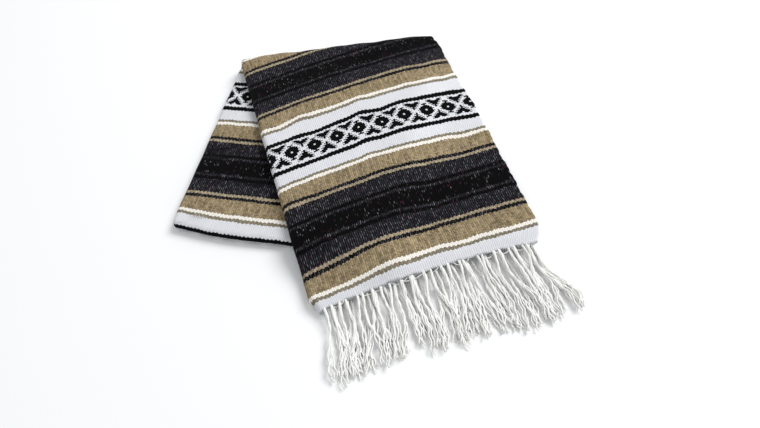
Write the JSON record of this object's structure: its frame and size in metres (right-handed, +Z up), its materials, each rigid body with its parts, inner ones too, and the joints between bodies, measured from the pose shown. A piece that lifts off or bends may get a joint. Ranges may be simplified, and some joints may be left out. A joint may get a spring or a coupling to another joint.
{
  "type": "folded serape blanket",
  "caption": "Striped woven serape with a row of small diamonds and a white yarn fringe, folded into a strip and laid over itself on a slant.",
  "frame": {"origin": "on the table under the centre of the bounding box", "axes": "+Z up; -Y towards the fringe and the picture's camera; +X to the right as seen from there"},
  "size_m": [0.5087, 0.5759, 0.032],
  "materials": {
    "woven_cloth": "matt weft-faced weave of recycled acrylic and cotton yarn, striped white, tan, charcoal and black",
    "fringe_yarn": "matt off-white twisted cotton warp ends"
  },
  "bodies": {
    "root": {"upper_cloth": "woven_cloth", "lower_cloth": "woven_cloth", "hidden_layers": "woven_cloth", "fringe_top": "fringe_yarn", "fringe_middle": "fringe_yarn", "fringe_bottom": "fringe_yarn"}
  },
  "joints": []
}
